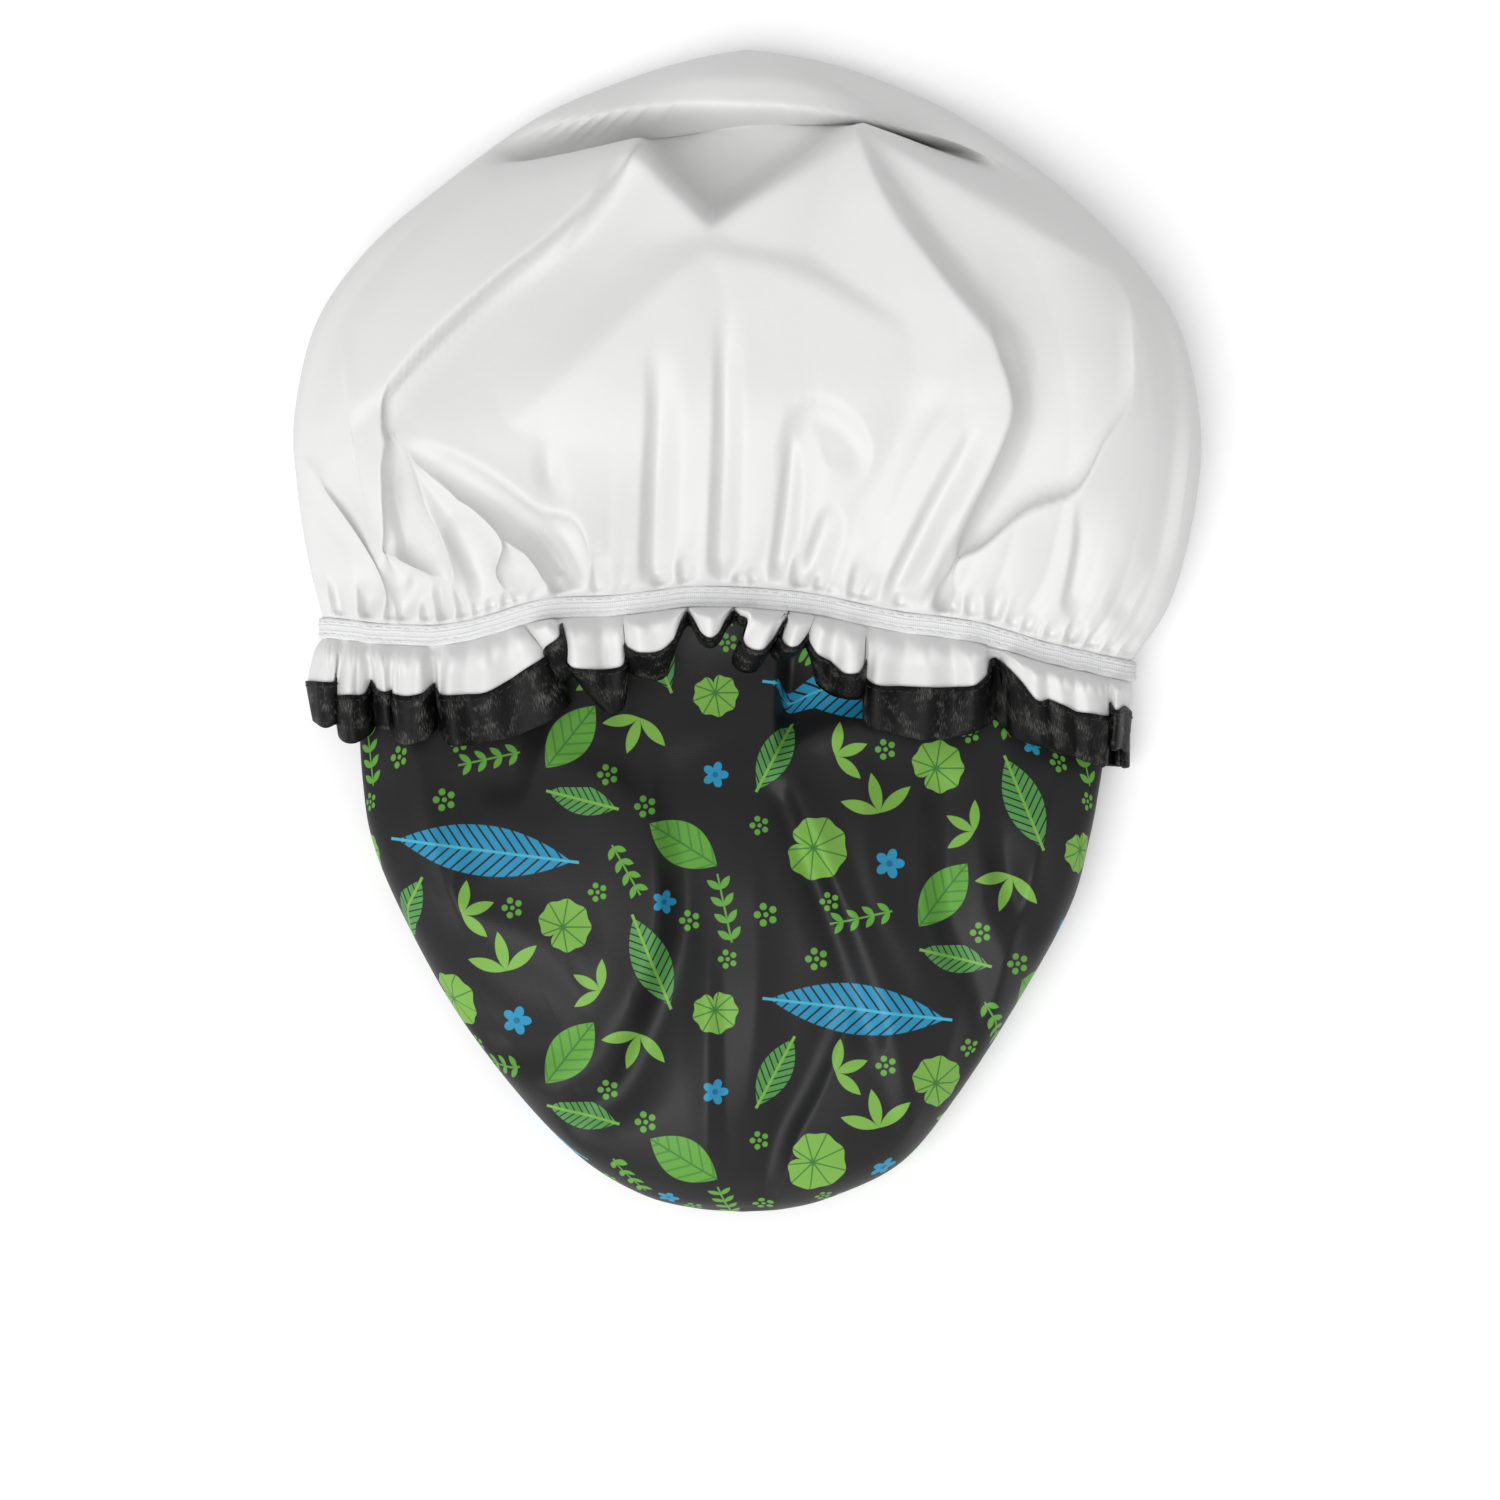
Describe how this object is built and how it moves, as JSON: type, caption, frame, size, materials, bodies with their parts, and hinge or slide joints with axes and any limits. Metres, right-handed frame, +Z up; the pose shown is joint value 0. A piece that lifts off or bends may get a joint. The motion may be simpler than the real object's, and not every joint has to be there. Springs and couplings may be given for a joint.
{
  "type": "shower cap",
  "caption": "Double-layer shower cap laid flat, its white film liner pulled out of the dark satin shell, with elastic and a bound frill.",
  "frame": {"origin": "middle of the laid-out cap on the table, in line with the waist", "axes": "+Z up from the table, +Y from the shell's crown to the liner's crown, +X to the right seen from above"},
  "size_m": [0.2898, 0.3734, 0.0597],
  "materials": {
    "film": "satin",
    "satin": "satin",
    "binding": "satin",
    "elastic": "matte",
    "white_thread": "matte",
    "black_thread": "matte"
  },
  "bodies": {
    "shell": {"shell_crown": "satin", "shell_frill": "satin", "liner_frill": "film", "hem_binding": "binding", "elastic_band": "elastic", "elastic_stitch_upper": "white_thread", "elastic_stitch_lower": "white_thread", "hem_stitch": "black_thread", "elastic_join_tack": "white_thread"},
    "liner": {"liner_crown": "film"}
  },
  "joints": [
    {"name": "liner_fold", "type": "hinge", "parent": "shell", "child": "liner", "pos_m": [-0.00625, 0.0136, 0.033], "axis": [1, 0, 0], "range_deg": [0, 90]}
  ]
}
